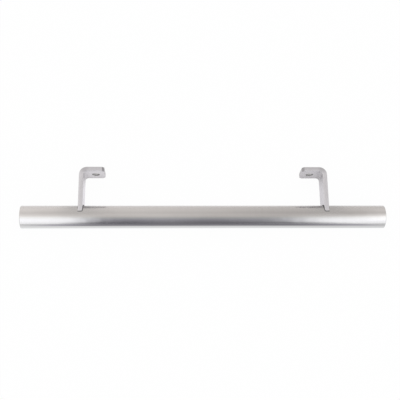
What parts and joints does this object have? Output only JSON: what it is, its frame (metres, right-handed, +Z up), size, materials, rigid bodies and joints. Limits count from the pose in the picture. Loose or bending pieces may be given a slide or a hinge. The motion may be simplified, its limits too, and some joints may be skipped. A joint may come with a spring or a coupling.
{
  "type": "oven handle",
  "caption": "Straight round steel tube handle carried by bent flat-bar brackets whose drilled feet screw to an oven door.",
  "frame": {"origin": "on the plane of the door's face, midway between the screw holes in the feet", "axes": "+X along the grip tube, +Y from the tube to the door (the outward normal of the feet), +Z up on the mounted handle"},
  "size_m": [0.4, 0.067, 0.025],
  "materials": {
    "tube_steel": "satin stainless, polished round the tube",
    "disc_steel": "satin stainless, ground flush",
    "bracket_steel": "satin stainless flat bar, brushed along its length",
    "weld_steel": "weld metal, wire brushed, duller than the bar"
  },
  "bodies": {
    "root": {"grip_tube": "tube_steel", "left_end_disc": "disc_steel", "right_end_disc": "disc_steel", "left_bracket": "bracket_steel", "right_bracket": "bracket_steel", "left_inner_weld": "weld_steel", "left_outer_weld": "weld_steel", "right_inner_weld": "weld_steel", "right_outer_weld": "weld_steel"}
  },
  "joints": []
}
